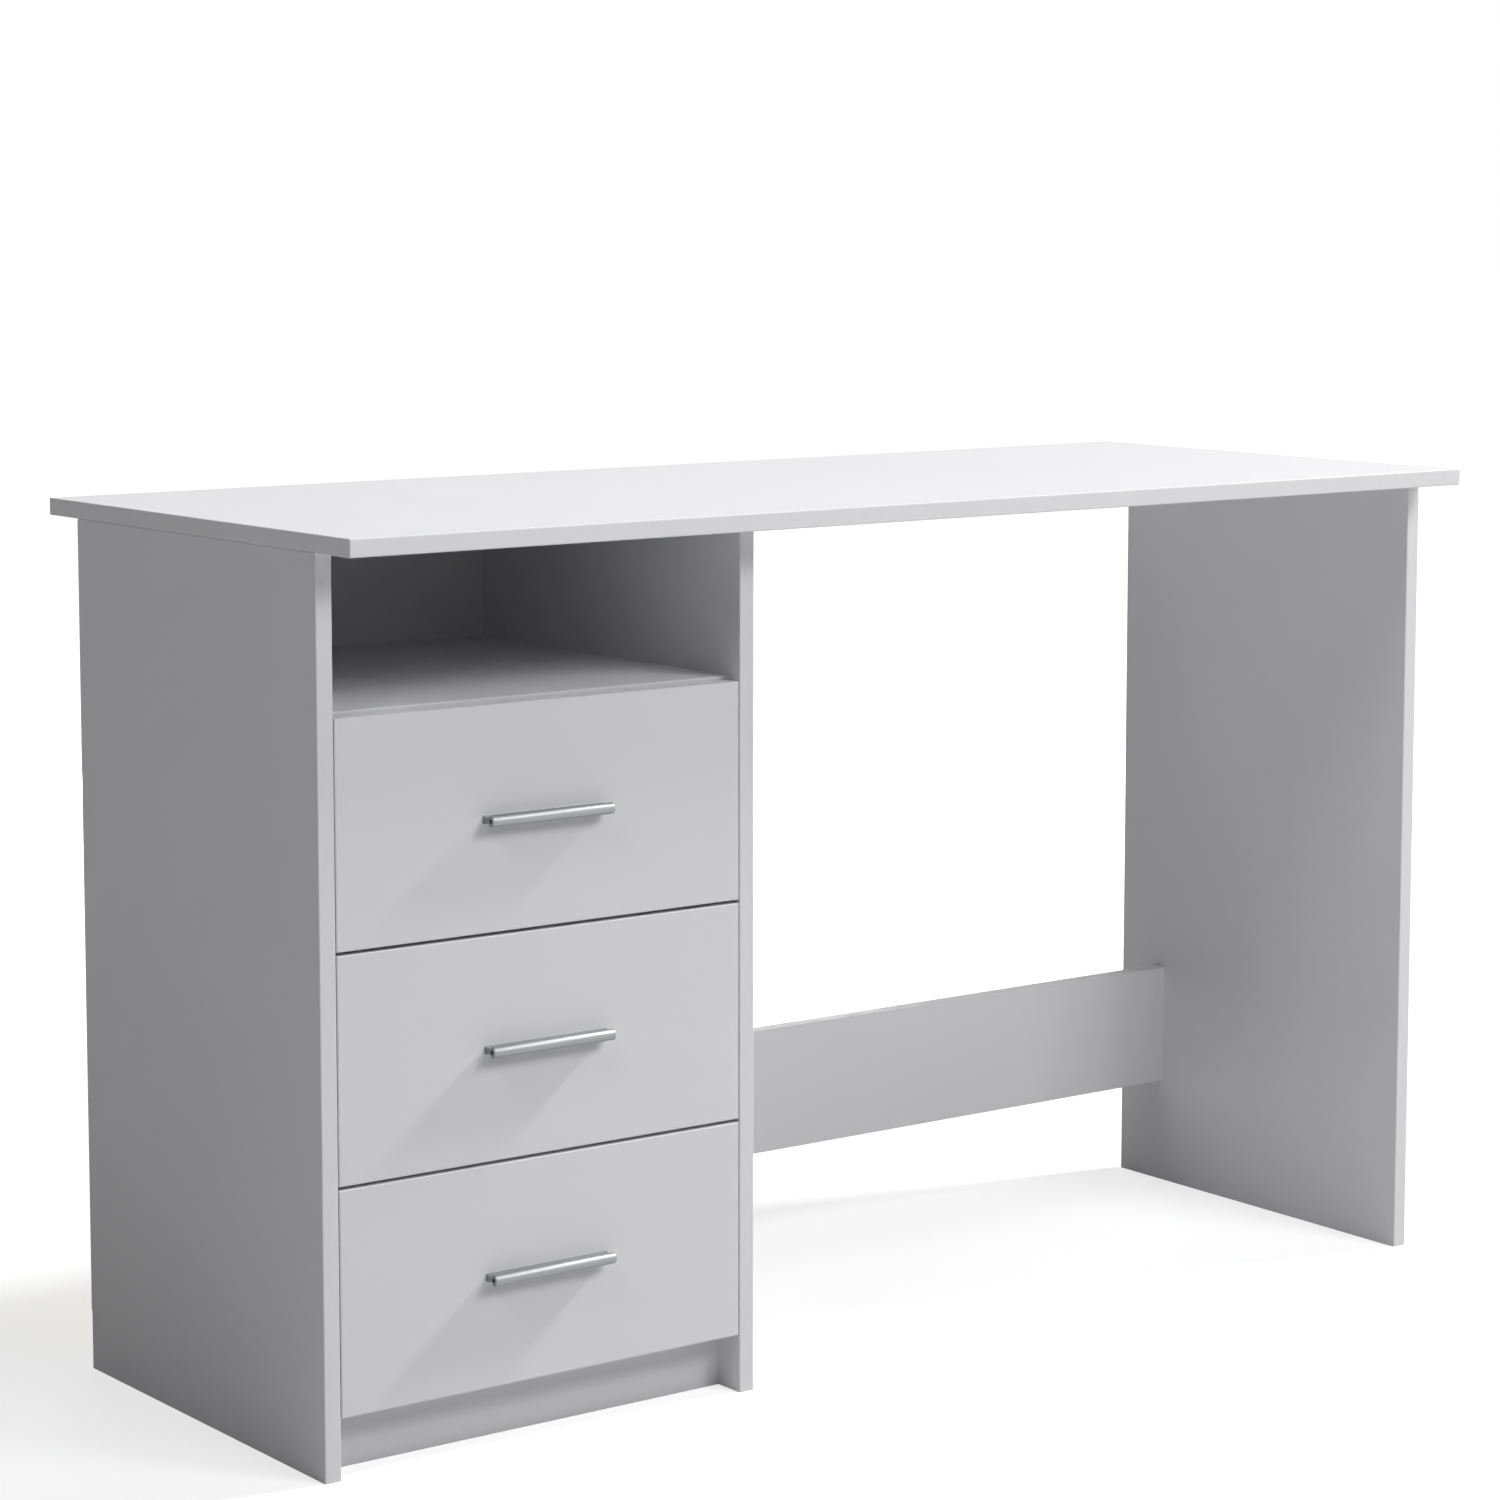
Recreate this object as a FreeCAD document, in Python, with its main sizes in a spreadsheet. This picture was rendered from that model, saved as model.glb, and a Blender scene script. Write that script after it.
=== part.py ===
import FreeCAD, Part
import os

import Sketcher

# A writing desk of 15 mm melamine faced board: a top on three side panels, with an open
# compartment and three drawers between the left two, and a foot rail to the right one.
# Frame: origin on the floor under the middle of the top, +X to the right, the drawers face -Y,
# +Z up, millimetres. Every board is drilled for its real fittings, and every drawer runs on
# steel runners with nylon rollers.

DIMENSIONS = {
    # the desk as a whole
    "desk_width": 1230,
    "desk_depth": 500,
    "desk_height": 765,
    "board": 15,
    "hardboard": 3,
    "edge_round": 1,
    "side_depth": 395,
    "pedestal_width": 430,
    # boards between the panels
    "shelf_top": 621,
    "shelf_setback": 18,
    "plinth_height": 50,
    "plinth_setback": 30,
    "stretcher_front": 135,
    "stretcher_bottom": 105,
    "stretcher_height": 120,
    "back_inset": 1,
    # drawer fronts
    "lowest_front": 51,
    "front_height": 187,
    "front_gap": 3,
    "front_side_gap": 1,
    # drawer boxes
    "drawer_board": 12,
    "drawer_depth": 350,
    "drawer_height": 138,
    "drawer_lift": 22,
    "runner_gap": 12.5,
    "groove_lift": 10,
    "groove_depth": 5,
    "groove_height": 3.2,
    "bottom_play": 0.5,
    # handles
    "handle_length": 120,
    "handle_reach": 16,
    "handle_foot": 6.4,
    "handle_foot_depth": 3,
    "handle_neck": 5,
    "handle_neck_end": 8.2,
    "handle_cap_radius": 4.8,
    "handle_hole_span": 96,
    "handle_thread_radius": 1.65,
    "handle_thread_depth": 9,
    "handle_screw_hole": 2.2,
    "handle_cap_bevel": 0.3,
    "handle_cap_run": 0.6,
    "handle_screw_length": 22,
    "handle_screw_core": 1.6,
    "handle_screw_shank": 1.95,
    "handle_screw_taper": 0.8,
    "handle_thread_start": 0.2,
    "handle_screw_head": 4,
    "handle_screw_rim": 0.8,
    "handle_screw_crown": 2.8,
    "handle_screw_rise": 2.2,
    "handle_cross_arm": 2,
    "handle_cross_width": 0.5,
    "handle_cross_depth": 1.3,
    # cam fittings of the carcass
    "cam_radius": 7.5,
    "cam_depth": 12.5,
    "cam_setback": 24,
    "bolt_bore": 4,
    "bolt_bore_depth": 20,
    "bolt_thread_hole": 2.5,
    "bolt_thread_depth": 11,
    "cam_front_row": 30,
    "cam_back_row": 160,
    "shelf_cam_front": -120,
    "shelf_cam_back": 130,
    "plinth_cam_height": 20,
    "cam_cross_arm": 3.2,
    "cam_cross_width": 0.9,
    "cam_cross_depth": 1.8,
    "cam_wall": 3,
    "bolt_play": 0.4,
    "bolt_head": 3.3,
    "bolt_shank": 2,
    "bolt_collar": 3.9,
    "bolt_head_start": 2,
    "bolt_head_end": 1.2,
    "bolt_collar_length": 3,
    "bolt_tip": 1.5,
    "bolt_tip_taper": 1,
    "thread_end_play": 0.5,
    "cap_radius": 8.5,
    "cap_rise": 1,
    "cap_bevel": 0.5,
    "cap_bevel_run": 0.6,
    "cap_pip_radius": 0.8,
    "cap_pip_length": 1.5,
    # dowels of the carcass
    "dowel_radius": 4,
    "dowel_length": 30,
    "dowel_face_depth": 10,
    "dowel_bevel": 0.8,
    "dowel_end_play": 0.5,
    "fit_play": 0.05,
    "dowel_row_front": -165,
    "dowel_row_middle": -65,
    "dowel_row_back": 95,
    "shelf_dowel_front": -155,
    "shelf_dowel_back": 165,
    "plinth_dowel_height": 40,
    "stretcher_dowel_span": 80,
    # cam fittings of the drawers
    "small_cam_radius": 6,
    "small_cam_depth": 9.6,
    "small_bolt_bore": 3,
    "small_cam_low": 40,
    "small_cam_high": 104,
    "small_bolt_head": 2.4,
    "small_bolt_shank": 1.6,
    "small_bolt_collar": 2.9,
    # runners
    "steel": 1,
    "runner_length": 350,
    "runner_start": 3.5,
    "channel_height": 20,
    "track_width": 10,
    "channel_lip": 7,
    "roller_radius": 8,
    "roller_bore": 2.05,
    "roller_width": 6,
    "roller_play": 0.3,
    "hub_radius": 3.8,
    "rim_inner": 6.6,
    "web_recess": 0.8,
    "web_slope": 0.4,
    "rim_bevel": 0.5,
    "pin_radius": 2,
    "pin_head": 3.2,
    "front_pin": 12,
    "rear_pin": 14,
    "stop_start": 61.5,
    "stop_length": 5,
    "stop_height": 2.5,
    # screws and nails
    "screw_radius": 1.75,
    "screw_hole": 1.8,
    "screw_head": 3.4,
    "screw_head_rim": 0.5,
    "screw_head_rise": 1.5,
    "screw_head_bevel": 1,
    "screw_point": 3,
    "screw_cross_arm": 1.7,
    "screw_cross_width": 0.4,
    "screw_cross_depth": 0.9,
    "runner_screw_length": 13,
    "runner_screw_first": 37,
    "runner_screw_step": 128,
    "box_screw_length": 30,
    "box_screw_low": 45,
    "box_screw_high": 110,
    "foot_screw_inset": 5,
    "foot_screw_front": 60,
    "foot_screw_back": 290,
    "nail_radius": 0.7,
    "nail_hole": 0.75,
    "nail_length": 20,
    "nail_point": 2,
    "nail_end_play": 0.5,
    "nail_head": 1.7,
    "nail_head_rim": 0.3,
    "nail_head_crown": 1.3,
    "nail_head_rise": 0.6,
    "nail_low": 90,
    "nail_step": 124,
    "nail_side_step": 100,
}

TOUCH = 1e-6  # points closer than this are one point
LEVELS = ("lower", "middle", "upper")
SIDES = {"left": 1, "right": -1}

doc = FreeCAD.newDocument("writing_desk")
exported = []
corners = {}
sizes = {}


def make_sheet():
    made = doc.addObject("Spreadsheet::Sheet", "dim")
    for row, (alias, number) in enumerate(DIMENSIONS.items(), start=1):
        made.set(f"A{row}", alias)
        made.set(f"B{row}", str(number))
        made.setAlias(f"B{row}", alias)
    doc.recompute()
    return made


sheet = make_sheet()


def value(expression):
    """The number that an expression on the sheet gives now."""
    return float(sheet.evalExpression(expression))


# Planes of the carcass, as expressions on the sheet.
LEFT_OUT = "(-dim.desk_width / 2)"
LEFT_IN = "(-dim.desk_width / 2 + dim.board)"
MIDDLE_IN = "(-dim.desk_width / 2 + dim.pedestal_width - dim.board)"
MIDDLE_OUT = "(-dim.desk_width / 2 + dim.pedestal_width)"
RIGHT_IN = "(dim.desk_width / 2 - dim.board)"
FRONT = "(-dim.side_depth / 2)"
BACK = "(dim.side_depth / 2)"
UNDER_TOP = "(dim.desk_height - dim.board)"
CAM_HEIGHT = "(dim.desk_height - dim.board - dim.cam_setback)"
INNER_WIDTH = "(dim.pedestal_width - 2 * dim.board)"
PEDESTAL_MIDDLE = "(-dim.desk_width / 2 + dim.pedestal_width / 2)"
SHELF_CENTRE = "(dim.shelf_top - dim.board / 2)"
FLOOR_CENTRE = "(dim.plinth_height + dim.board / 2)"
PLINTH_FRONT = "(-dim.side_depth / 2 + dim.plinth_setback)"
PLINTH_CENTRE = "(-dim.side_depth / 2 + dim.plinth_setback + dim.board / 2)"
STRETCHER_CENTRE = "(dim.stretcher_front + dim.board / 2)"
STRETCHER_MIDDLE = "(dim.stretcher_bottom + dim.stretcher_height / 2)"
PANEL_CENTRES = [f"({face} + dim.board / 2)" for face in (LEFT_OUT, MIDDLE_IN, RIGHT_IN)]
CAM_ROWS = ["dim.cam_front_row", "dim.cam_back_row"]
DOWEL_ROWS = ["dim.dowel_row_front", "dim.dowel_row_middle", "dim.dowel_row_back"]
SHELF_CAM_ROWS = ["dim.shelf_cam_front", "dim.shelf_cam_back"]
SHELF_DOWEL_ROWS = ["dim.shelf_dowel_front", "dim.shelf_dowel_back"]
STRETCHER_DOWELS = [f"({STRETCHER_MIDDLE} {sign} dim.stretcher_dowel_span / 2)" for sign in "-+"]
PANEL_NAILS = [f"(dim.nail_low + {step} * dim.nail_step)" for step in range(6)]
BOARD_NAILS = [f"({PEDESTAL_MIDDLE} + {step} * dim.nail_side_step)" for step in (-1, 0, 1)]
DOWEL_HOLE = "dim.dowel_radius + dim.fit_play"
DOWEL_EDGE_DEPTH = "dim.dowel_length - dim.dowel_face_depth + dim.dowel_end_play"
DOWEL_FACE_DEPTH = "dim.dowel_face_depth + dim.dowel_end_play"

# Planes of a drawer.
BOX_FRONT = "(-dim.side_depth / 2 + dim.board)"
BOX_LEFT_OUT = f"({LEFT_IN} + dim.runner_gap)"
BOX_LEFT_IN = f"({LEFT_IN} + dim.runner_gap + dim.drawer_board)"
BOX_RIGHT_IN = f"({MIDDLE_IN} - dim.runner_gap - dim.drawer_board)"
BOX_RIGHT_OUT = f"({MIDDLE_IN} - dim.runner_gap)"
BOX_BACK = f"({BOX_FRONT} + dim.drawer_depth - dim.drawer_board)"
BOX_BACK_CENTRE = f"({BOX_BACK} + dim.drawer_board / 2)"
BOX_SIDE_CENTRES = [f"({face} + dim.drawer_board / 2)" for face in (BOX_LEFT_OUT, BOX_RIGHT_IN)]
BOX_CAM_ROW = f"({BOX_FRONT} + dim.cam_setback)"
HANDLE_SCREWS = [f"({PEDESTAL_MIDDLE} {sign} dim.handle_hole_span / 2)" for sign in "-+"]
RUNNER_FRONT = f"({BOX_FRONT} + dim.runner_start)"
RUNNER_SCREWS = [f"({RUNNER_FRONT} + dim.runner_screw_first + {step} * dim.runner_screw_step)"
                 for step in range(3)]
FOOT_SCREWS = [f"({BOX_FRONT} + {row})" for row in ("dim.foot_screw_front", "dim.foot_screw_back")]
FOOT_SCREW_COLUMNS = [
    f"({BOX_LEFT_OUT} + dim.foot_screw_inset)",
    f"({BOX_RIGHT_OUT} - dim.foot_screw_inset)",
]


def front_bottom(level):
    """Height of the underside of a drawer's front."""
    step = LEVELS.index(level)
    return f"(dim.lowest_front + {step} * (dim.front_height + dim.front_gap))"


def box_bottom(level):
    """Height of the underside of a drawer's sides."""
    return f"({front_bottom(level)} + dim.drawer_lift)"


def track_height(level):
    """Height of the track that a drawer's rear rollers run on."""
    return f"({box_bottom(level)} + dim.steel)"


def roller_height(level):
    return f"({track_height(level)} + dim.roller_play + dim.roller_radius)"


def box_cams(level):
    return [f"({box_bottom(level)} + {row})" for row in ("dim.small_cam_low", "dim.small_cam_high")]


def box_screws(level):
    return [f"({box_bottom(level)} + {row})" for row in ("dim.box_screw_low", "dim.box_screw_high")]


# ---------------------------------------------------------------- sketching helpers


def place(item, corner):
    for axis, expression in zip("xyz", corner):
        item.setExpression("Placement.Base." + axis, expression)


def new_body(name, corner):
    made = doc.addObject("PartDesign::Body", name)
    made.Label = name
    place(made, corner)
    return made


def new_sketch(owner, role, offset="0"):
    """A sketch on one of the body's own origin planes, moved along its normal."""
    plane = next(item for item in owner.Origin.OriginFeatures if item.Role == role)
    plan = owner.newObject("Sketcher::SketchObject", f"{owner.Name}_plan")
    plan.AttachmentSupport = [(plane, "")]
    plan.MapMode = "FlatFace"
    plan.setExpression("AttachmentOffset.Base.z", offset)
    return plan


def pin_point(plan, geometry, vertex, spot):
    """Ties a point to the sketch's axes, at the distances that two expressions give."""
    for kind, axis, expression in (("DistanceX", -2, spot[0]), ("DistanceY", -1, spot[1])):
        distance = value(expression)
        if abs(distance) < TOUCH:
            plan.addConstraint(Sketcher.Constraint("PointOnObject", geometry, vertex, axis))
            continue
        rule = plan.addConstraint(Sketcher.Constraint(kind, -1, 1, geometry, vertex, distance))
        plan.renameConstraint(rule, f"{kind}_{geometry}_{vertex}")
        plan.setExpression(f"Constraints.{kind}_{geometry}_{vertex}", expression)


def draw_outline(plan, spots):
    """A closed outline of straight lines through the given points."""
    first = plan.GeometryCount
    points = [FreeCAD.Vector(value(across), value(up), 0) for across, up in spots]
    for start, end in zip(points, points[1:] + points[:1]):
        plan.addGeometry(Part.LineSegment(start, end))
    last = plan.GeometryCount - 1
    for number, spot in enumerate(spots):
        before = first + number - 1 if number else last
        plan.addConstraint(Sketcher.Constraint("Coincident", before, 2, first + number, 1))
        pin_point(plan, first + number, 1, spot)


def draw_rectangle(plan, low, high):
    draw_outline(plan, [low, (high[0], low[1]), high, (low[0], high[1])])


def draw_circle(plan, centre, radius):
    spot = FreeCAD.Vector(value(centre[0]), value(centre[1]), 0)
    circle = plan.addGeometry(Part.Circle(spot, FreeCAD.Vector(0, 0, 1), value(radius)))
    pin_point(plan, circle, 3, centre)
    rule = plan.addConstraint(Sketcher.Constraint("Radius", circle, value(radius)))
    plan.renameConstraint(rule, f"radius_{circle}")
    plan.setExpression(f"Constraints.radius_{circle}", radius)


def pad(owner, plan, length, reverse=False):
    made = owner.newObject("PartDesign::Pad", f"{owner.Name}_pad")
    made.Profile = plan
    made.setExpression("Length", length)
    made.Reversed = reverse
    return made


def pocket(owner, plan, depth, reverse=False):
    made = owner.newObject("PartDesign::Pocket", f"{owner.Name}_pocket")
    made.Profile = plan
    made.setExpression("Length", depth)
    made.Reversed = reverse
    return made


def revolve(owner, plan, axis):
    made = owner.newObject("PartDesign::Revolution", f"{owner.Name}_turning")
    made.Profile = plan
    made.ReferenceAxis = (plan, [axis])
    made.Angle = 360
    return made


def turned(name, outline):
    """A piece turned about its own +Z axis, from an outline of (radius, height) points."""
    owner = new_body(name, ("0", "0", "0"))
    plan = new_sketch(owner, "XZ_Plane")
    draw_outline(plan, outline)
    revolve(owner, plan, "V_Axis")
    return owner


def round_edges(owner, radius, chosen):
    doc.recompute()
    base = owner.Tip
    names = [f"Edge{number}" for number, edge in enumerate(base.Shape.Edges, start=1) if chosen(edge)]
    made = owner.newObject("PartDesign::Fillet", f"{owner.Name}_rounding")
    made.Base = (base, names)
    made.setExpression("Radius", radius)


def runs_along(edge, axis):
    box = edge.BoundBox
    lengths = {"x": box.XLength, "y": box.YLength, "z": box.ZLength}
    return lengths.pop(axis) > 1 and max(lengths.values()) < 0.01


def export(item):
    exported.append(item)
    return item


# ---------------------------------------------------------------- boards


def board(name, corner, size, thickness):
    """A board with its lowest corner at corner, padded through its thickness."""
    owner = new_body(name, corner)
    role, across, up, depth, reverse = {
        "x": ("YZ_Plane", 1, 2, 0, False),
        "y": ("XZ_Plane", 0, 2, 1, True),
        "z": ("XY_Plane", 0, 1, 2, False),
    }[thickness]
    plan = new_sketch(owner, role)
    draw_rectangle(plan, ("0", "0"), (size[across], size[up]))
    pad(owner, plan, size[depth], reverse)
    corners[owner.Name] = corner
    sizes[owner.Name] = size
    return export(owner)


def face_sketch(owner, face):
    """A sketch on a face of a board, which of its axes it shows, and the way a pocket goes."""
    size = sizes[owner.Name]
    role, offset, axes, reverse = {
        "-X": ("YZ_Plane", "0", (1, 2), True),
        "+X": ("YZ_Plane", size[0], (1, 2), False),
        "-Y": ("XZ_Plane", "0", (0, 2), False),
        "+Y": ("XZ_Plane", f"-({size[1]})", (0, 2), True),
        "-Z": ("XY_Plane", "0", (0, 1), True),
        "+Z": ("XY_Plane", size[2], (0, 1), False),
    }[face]
    return new_sketch(owner, role, offset), axes, reverse


def on_board(owner, axes, spot):
    """A point given in the desk's frame, as a point of a sketch on one of the board's faces."""
    corner = corners[owner.Name]
    return tuple(f"({distance} - {corner[axis]})" for distance, axis in zip(spot, axes))


def drill(owner, face, spots, radius, depth):
    """Round holes into a face of a board, at points given in the desk's frame."""
    plan, axes, reverse = face_sketch(owner, face)
    for spot in spots:
        draw_circle(plan, on_board(owner, axes, spot), radius)
    pocket(owner, plan, depth, reverse)


def groove(owner, face, low, high, depth):
    """A straight groove into a face of a board, between two corners in the desk's frame."""
    plan, axes, reverse = face_sketch(owner, face)
    draw_rectangle(plan, on_board(owner, axes, low), on_board(owner, axes, high))
    pocket(owner, plan, depth, reverse)


def grid(across, up):
    return [(first, second) for first in across for second in up]


def make_desk_top():
    corner = (LEFT_OUT, "(-dim.desk_depth / 2)", UNDER_TOP)
    top = board("desk_top", corner, ("dim.desk_width", "dim.desk_depth", "dim.board"), "z")
    round_edges(top, "dim.edge_round", lambda edge: True)
    drill(top, "-Z", grid(PANEL_CENTRES, CAM_ROWS), "dim.bolt_thread_hole", "dim.bolt_thread_depth")
    drill(top, "-Z", grid(PANEL_CENTRES, DOWEL_ROWS), DOWEL_HOLE, DOWEL_FACE_DEPTH)


def make_side_panel(name, outer, centre, cam_face):
    """A side panel, with the fittings that tie it to the desk top."""
    corner = (outer, FRONT, "0")
    panel = board(name, corner, ("dim.board", "dim.side_depth", UNDER_TOP), "x")
    round_edges(panel, "dim.edge_round",
                lambda edge: runs_along(edge, "z") and edge.CenterOfMass.y < 1)
    drill(panel, "+Z", grid([centre], CAM_ROWS), "dim.bolt_bore", "dim.bolt_bore_depth")
    drill(panel, "+Z", grid([centre], DOWEL_ROWS), DOWEL_HOLE, DOWEL_EDGE_DEPTH)
    drill(panel, cam_face, grid(CAM_ROWS, [CAM_HEIGHT]), "dim.cam_radius", "dim.cam_depth")
    return panel


def drill_for_pedestal(panel, centre, face):
    """Holes of a pedestal panel for the shelf, the floor, the plinth, the runners and the nails."""
    bolts = grid(SHELF_CAM_ROWS, [SHELF_CENTRE, FLOOR_CENTRE])
    bolts.append((PLINTH_CENTRE, "dim.plinth_cam_height"))
    dowels = grid(SHELF_DOWEL_ROWS, [SHELF_CENTRE, FLOOR_CENTRE])
    dowels.append((PLINTH_CENTRE, "dim.plinth_dowel_height"))
    drill(panel, face, bolts, "dim.bolt_thread_hole", "dim.bolt_thread_depth")
    drill(panel, face, dowels, DOWEL_HOLE, DOWEL_FACE_DEPTH)
    screws = grid(RUNNER_SCREWS, [runner_screw_height(level) for level in LEVELS])
    drill(panel, face, screws, "dim.screw_hole", "dim.runner_screw_length")
    drill(panel, "+Y", grid([centre], PANEL_NAILS), "dim.nail_hole", "dim.nail_length")


def drill_for_stretcher(panel, face):
    """Holes of a panel for one end of the stretcher."""
    drill(panel, face, [(STRETCHER_CENTRE, STRETCHER_MIDDLE)], "dim.bolt_thread_hole",
          "dim.bolt_thread_depth")
    drill(panel, face, grid([STRETCHER_CENTRE], STRETCHER_DOWELS), DOWEL_HOLE, DOWEL_FACE_DEPTH)


def make_side_panels():
    left = make_side_panel("left_side_panel", LEFT_OUT, PANEL_CENTRES[0], "+X")
    middle = make_side_panel("middle_side_panel", MIDDLE_IN, PANEL_CENTRES[1], "-X")
    right = make_side_panel("right_side_panel", RIGHT_IN, PANEL_CENTRES[2], "-X")
    drill_for_pedestal(left, PANEL_CENTRES[0], "+X")
    drill_for_pedestal(middle, PANEL_CENTRES[1], "-X")
    drill_for_stretcher(middle, "+X")
    drill_for_stretcher(right, "-X")


def make_pedestal_board(name, underside, centre):
    """The shelf or the floor of the pedestal, with cams in its underside at both ends."""
    corner = (LEFT_IN, f"({FRONT} + dim.shelf_setback)", underside)
    size = (INNER_WIDTH, "(dim.side_depth - dim.shelf_setback)", "dim.board")
    made = board(name, corner, size, "z")
    round_edges(made, "dim.edge_round",
                lambda edge: runs_along(edge, "x") and edge.CenterOfMass.y < 1)
    for face in ("-X", "+X"):
        drill(made, face, grid(SHELF_CAM_ROWS, [centre]), "dim.bolt_bore", "dim.bolt_bore_depth")
        drill(made, face, grid(SHELF_DOWEL_ROWS, [centre]), DOWEL_HOLE, DOWEL_EDGE_DEPTH)
    columns = [f"({LEFT_IN} + dim.cam_setback)", f"({MIDDLE_IN} - dim.cam_setback)"]
    drill(made, "-Z", grid(columns, SHELF_CAM_ROWS), "dim.cam_radius", "dim.cam_depth")
    drill(made, "+Y", grid(BOARD_NAILS, [centre]), "dim.nail_hole", "dim.nail_length")


def make_rail(name, corner, size, ends, cam_height, dowel_heights, centre):
    """A board on edge between two panels, with cams in its rear face at both ends."""
    made = board(name, corner, size, "y")
    round_edges(made, "dim.edge_round", lambda edge: runs_along(edge, "x"))
    for face in ("-X", "+X"):
        drill(made, face, [(centre, cam_height)], "dim.bolt_bore", "dim.bolt_bore_depth")
        drill(made, face, grid([centre], dowel_heights), DOWEL_HOLE, DOWEL_EDGE_DEPTH)
    columns = [f"({ends[0]} + dim.cam_setback)", f"({ends[1]} - dim.cam_setback)"]
    drill(made, "+Y", grid(columns, [cam_height]), "dim.cam_radius", "dim.cam_depth")


def make_rails():
    make_rail("plinth_board", (LEFT_IN, PLINTH_FRONT, "0"),
              (INNER_WIDTH, "dim.board", "dim.plinth_height"), (LEFT_IN, MIDDLE_IN),
              "dim.plinth_cam_height", ["dim.plinth_dowel_height"], PLINTH_CENTRE)
    make_rail("stretcher_board", (MIDDLE_OUT, "dim.stretcher_front", "dim.stretcher_bottom"),
              (f"({RIGHT_IN} - {MIDDLE_OUT})", "dim.board", "dim.stretcher_height"),
              (MIDDLE_OUT, RIGHT_IN), STRETCHER_MIDDLE, STRETCHER_DOWELS, STRETCHER_CENTRE)


def make_back_panel():
    corner = (f"({LEFT_OUT} + dim.back_inset)", BACK, "(dim.plinth_height + dim.back_inset)")
    size = ("(dim.pedestal_width - 2 * dim.back_inset)", "dim.hardboard",
            f"({UNDER_TOP} - dim.plinth_height - 2 * dim.back_inset)")
    made = board("back_panel", corner, size, "y")
    nails = grid(PANEL_CENTRES[:2], PANEL_NAILS) + grid(BOARD_NAILS, [SHELF_CENTRE, FLOOR_CENTRE])
    drill(made, "+Y", nails, "dim.nail_hole", "dim.hardboard")


# ---------------------------------------------------------------- fittings

AXES = {
    "+X": FreeCAD.Vector(1, 0, 0),
    "-X": FreeCAD.Vector(-1, 0, 0),
    "+Y": FreeCAD.Vector(0, 1, 0),
    "-Y": FreeCAD.Vector(0, -1, 0),
    "+Z": FreeCAD.Vector(0, 0, 1),
    "-Z": FreeCAD.Vector(0, 0, -1),
}


def turn_to(out, toward=None):
    """A rotation that takes +Z to out and, where it is given, +X to toward."""
    if toward is None:
        return FreeCAD.Rotation(AXES["+Z"], AXES[out])
    across = AXES[out].cross(AXES[toward])
    return FreeCAD.Rotation(AXES[toward], across, AXES[out], "ZXY")


def group(name, members):
    """One node of separate solids, each a linked copy of a master piece at its own place."""
    copies = []
    for number, (master, corner, rotation) in enumerate(members):
        copy = doc.addObject("App::Link", f"{name}_{number}")
        copy.LinkedObject = master
        copy.Placement = FreeCAD.Placement(FreeCAD.Vector(), rotation)
        place(copy, corner)
        copies.append(copy)
    made = doc.addObject("Part::Compound", name)
    made.Label = name
    made.Links = copies
    return export(made)


def cut_cross(owner, top, arm, width, depth):
    """A cross recess for a driver, cut down from the height top."""
    for long_side, short_side in ((arm, width), (width, arm)):
        plan = new_sketch(owner, "XY_Plane", top)
        draw_rectangle(plan, (f"-{long_side}", f"-{short_side}"), (long_side, short_side))
        pocket(owner, plan, depth)


def make_cam_housing(name, radius, depth, axis_depth, head):
    """A cam: +Z is its axis out of the board's face, and its bolt comes in from +X."""
    owner = new_body(name, ("0", "0", "0"))
    plan = new_sketch(owner, "XY_Plane")
    draw_circle(plan, ("0", "0"), f"({radius} - dim.fit_play)")
    pad(owner, plan, f"({depth} - 2 * dim.fit_play)", True)
    slot = new_sketch(owner, "YZ_Plane", "-dim.cam_wall")
    half = f"({head} + dim.bolt_play)"
    draw_rectangle(slot, (f"-{half}", f"-({axis_depth} + {half})"),
                   (half, f"-({axis_depth} - {half})"))
    pocket(owner, slot, f"({radius} + dim.cam_wall + dim.steel)", True)
    cut_cross(owner, "0", "dim.cam_cross_arm", "dim.cam_cross_width", "dim.cam_cross_depth")
    return owner


def make_cam_bolt(name, axis_depth, head, shank, collar):
    """The bolt of a cam, along +X at its depth under the board's face, thread outermost."""
    owner = new_body(name, ("0", "0", "0"))
    plan = new_sketch(owner, "XZ_Plane")
    plan.setExpression("AttachmentOffset.Base.y", f"-({axis_depth})")
    thread = "(dim.bolt_thread_hole - dim.fit_play)"
    seat = "dim.cam_setback"
    collar_start = "(dim.cam_setback - dim.bolt_collar_length)"
    tip = "(dim.cam_setback + dim.bolt_thread_depth - dim.thread_end_play)"
    draw_outline(plan, [
        ("-dim.bolt_head_start", "0"), ("-dim.bolt_head_start", head), ("dim.bolt_head_end", head),
        ("2 * dim.bolt_head_end", shank), (collar_start, shank), (collar_start, collar),
        (seat, collar), (seat, thread), (f"({tip} - dim.bolt_tip)", thread),
        (tip, f"({thread} - dim.bolt_tip_taper)"), (tip, "0"),
    ])
    revolve(owner, plan, "H_Axis")
    return owner


def make_cam_cap():
    pip, rim = "dim.cap_pip_radius", "dim.cap_radius"
    return turned("cam_cap_master", [
        ("0", "-dim.cap_pip_length"), (pip, "-dim.cap_pip_length"), (pip, "0"), (rim, "0"),
        (rim, "(dim.cap_rise - dim.cap_bevel)"), (f"({rim} - dim.cap_bevel_run)", "dim.cap_rise"),
        ("0", "dim.cap_rise"),
    ])


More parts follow.
